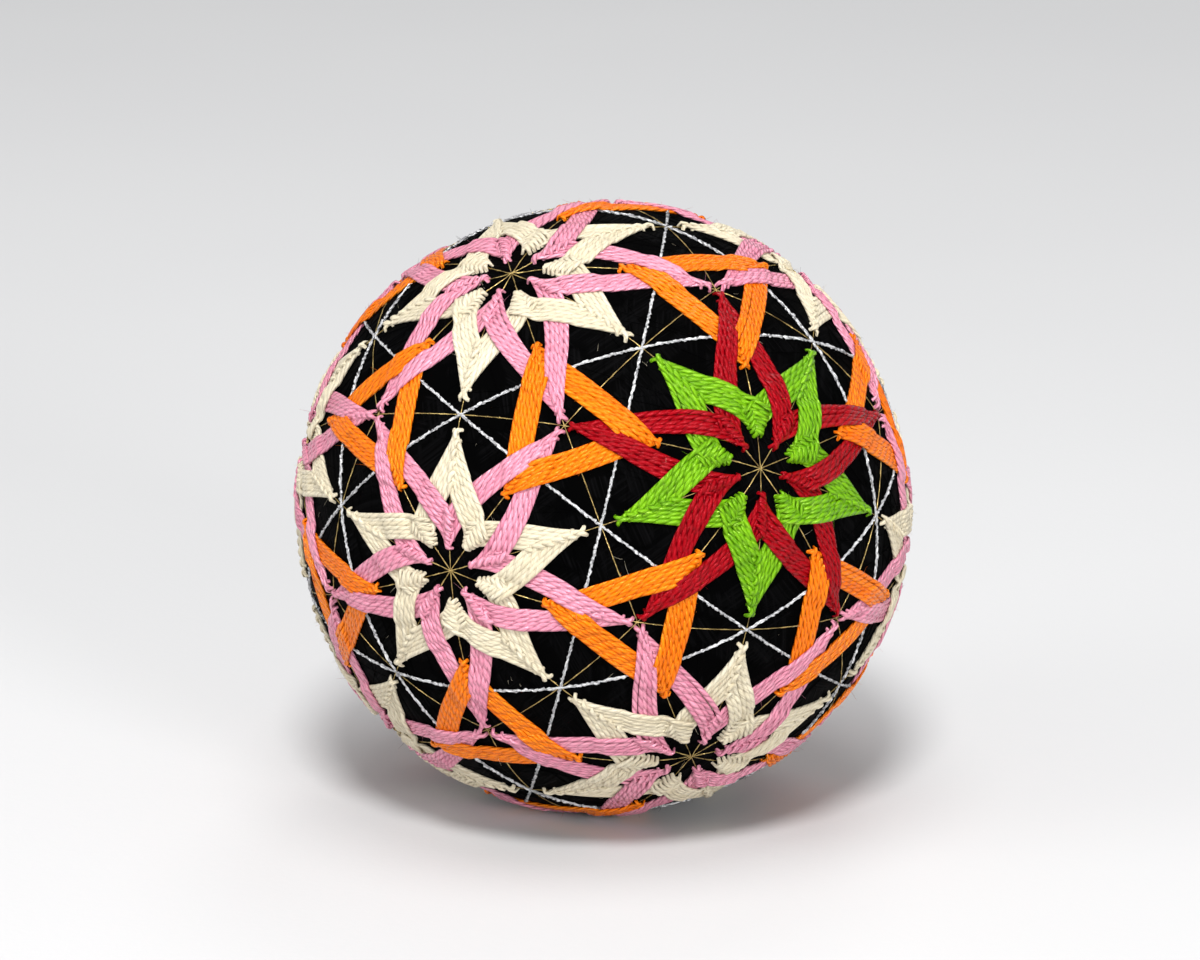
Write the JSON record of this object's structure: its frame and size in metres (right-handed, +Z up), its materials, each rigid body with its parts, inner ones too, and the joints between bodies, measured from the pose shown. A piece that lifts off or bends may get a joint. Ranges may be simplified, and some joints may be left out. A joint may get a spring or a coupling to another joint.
{
  "type": "stitched thread ball",
  "caption": "Round thread-wound decorative ball with even stitched stars and triangles and a small flat spot it stands on.",
  "frame": {"origin": "centre of the flat foot, on the surface that the ball stands on", "axes": "+Z up through the ball's centre; the side that faces -Y shows the green and red star"},
  "size_m": [0.0947, 0.095, 0.0936],
  "materials": {
    "black_thread": "matte wound sewing thread",
    "orange_thread": "lustrous twisted cotton",
    "pink_thread": "lustrous twisted cotton",
    "cream_thread": "soft twisted cotton",
    "green_thread": "lustrous twisted cotton",
    "red_thread": "lustrous twisted cotton",
    "silver_thread": "ragged metallic yarn",
    "gold_thread": "thin twisted metallic yarn"
  },
  "bodies": {
    "root": {"wound_ball": "black_thread"}
  },
  "joints": []
}
